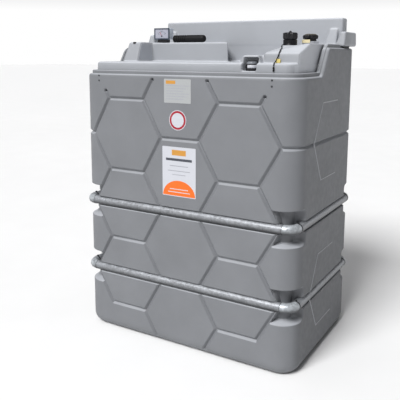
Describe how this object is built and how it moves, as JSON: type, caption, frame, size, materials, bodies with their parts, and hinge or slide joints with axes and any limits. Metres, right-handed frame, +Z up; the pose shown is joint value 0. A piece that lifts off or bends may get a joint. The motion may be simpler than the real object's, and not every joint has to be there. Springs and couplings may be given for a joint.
{
  "type": "double-walled storage tank",
  "caption": "Free-standing rectangular double-walled plastic storage tank with honeycomb walls, steel tube bands, raised rear panel, filler neck, suction neck, level gauge and leak indicator.",
  "frame": {"origin": "floor level under the middle of the tank, with the pieces of the cap cord left out", "axes": "+Z up, the long front face looks along -Y, +X is the right end seen from the front"},
  "size_m": [1.2108, 0.8108, 1.645],
  "materials": {
    "shell_plastic": "rotomoulded mid grey polyethylene, satin with a fine grain",
    "top_plastic": "rotomoulded light grey polyethylene, satin with a fine grain",
    "galvanised_tube": "hot-dip galvanised steel tube, mottled",
    "galvanised_elbow": "hot-dip galvanised bend, a little brighter than the tube",
    "black_plastic": "black moulded plastic, satin",
    "black_rubber": "black rubber, dull",
    "gauge_frame": "blue-grey moulded plastic",
    "dial_white": "white printed face"
  },
  "bodies": {
    "root": {"bund_shell": "shell_plastic", "inner_tank": "top_plastic", "tank_top": "top_plastic", "upper_tube_front": "galvanised_tube", "upper_tube_back": "galvanised_tube", "upper_tube_left": "galvanised_tube", "upper_tube_right": "galvanised_tube", "upper_elbow_front_left": "galvanised_elbow", "upper_elbow_front_right": "galvanised_elbow", "upper_elbow_back_left": "galvanised_elbow", "upper_elbow_back_right": "galvanised_elbow", "lower_tube_front": "galvanised_tube", "lower_tube_back": "galvanised_tube", "lower_tube_left": "galvanised_tube", "lower_tube_right": "galvanised_tube", "lower_elbow_front_left": "galvanised_elbow", "lower_elbow_front_right": "galvanised_elbow", "lower_elbow_back_left": "galvanised_elbow", "lower_elbow_back_right": "galvanised_elbow", "filler_collar": "black_plastic", "filler_cap": "black_plastic", "filler_cap_knob": "black_plastic", "suction_neck": "black_plastic", "suction_cap": "black_plastic", "gauge_foot": "black_plastic", "indicator_body": "black_plastic", "gauge_body": "gauge_frame", "gauge_bezel": "gauge_frame", "gauge_dial": "dial_white", "indicator_band": "dial_white", "ribbed_sleeve": "black_rubber", "cap_cord": "black_rubber", "cord_clip": "black_rubber", "rest_pad_left": "black_rubber", "rest_pad_right": "black_rubber"}
  },
  "joints": []
}
